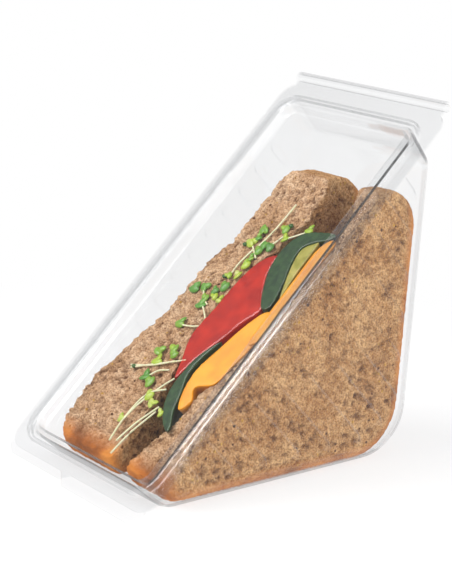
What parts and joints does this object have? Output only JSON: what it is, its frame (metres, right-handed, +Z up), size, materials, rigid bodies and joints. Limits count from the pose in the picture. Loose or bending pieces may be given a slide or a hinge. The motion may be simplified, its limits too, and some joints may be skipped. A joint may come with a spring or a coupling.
{
  "type": "hinged sandwich container",
  "caption": "Clear thermoformed wedge container with a sloping hinged lid, offset finger tabs and fluted sides, packed with a cut sandwich standing on its base.",
  "frame": {"origin": "centre of the footprint's bounding box, at the level the base stands on", "axes": "+X across the wedge, +Y from the finger tabs to the upright back, +Z up"},
  "size_m": [0.0894, 0.135, 0.1369],
  "materials": {
    "clear_plastic": "clear thermoformed sheet",
    "bread": "wholemeal crumb with a brown crust",
    "cheese": "satin",
    "tomato": "moist",
    "cucumber": "moist",
    "sprout": "satin"
  },
  "bodies": {
    "tray": {"base_tray": "clear_plastic", "bread_slice_left": "bread", "bread_slice_right": "bread", "cheese_slice_1": "cheese", "cheese_slice_2": "cheese", "tomato_slice_1": "tomato", "tomato_slice_2": "tomato", "tomato_slice_3": "tomato", "cucumber_slice_1": "cucumber", "cucumber_slice_2": "cucumber", "cucumber_slice_3": "cucumber", "sprout_01": "sprout", "sprout_02": "sprout", "sprout_03": "sprout", "sprout_04": "sprout", "sprout_05": "sprout", "sprout_06": "sprout", "sprout_07": "sprout", "sprout_08": "sprout", "sprout_09": "sprout", "sprout_10": "sprout", "sprout_11": "sprout", "sprout_12": "sprout", "sprout_13": "sprout"},
    "lid": {"lid": "clear_plastic"}
  },
  "joints": [
    {"name": "lid_hinge", "type": "hinge", "parent": "tray", "child": "lid", "pos_m": [0, 0.06593, 0.13452], "axis": [-1, 0, 0], "range_deg": [0, 175]}
  ]
}
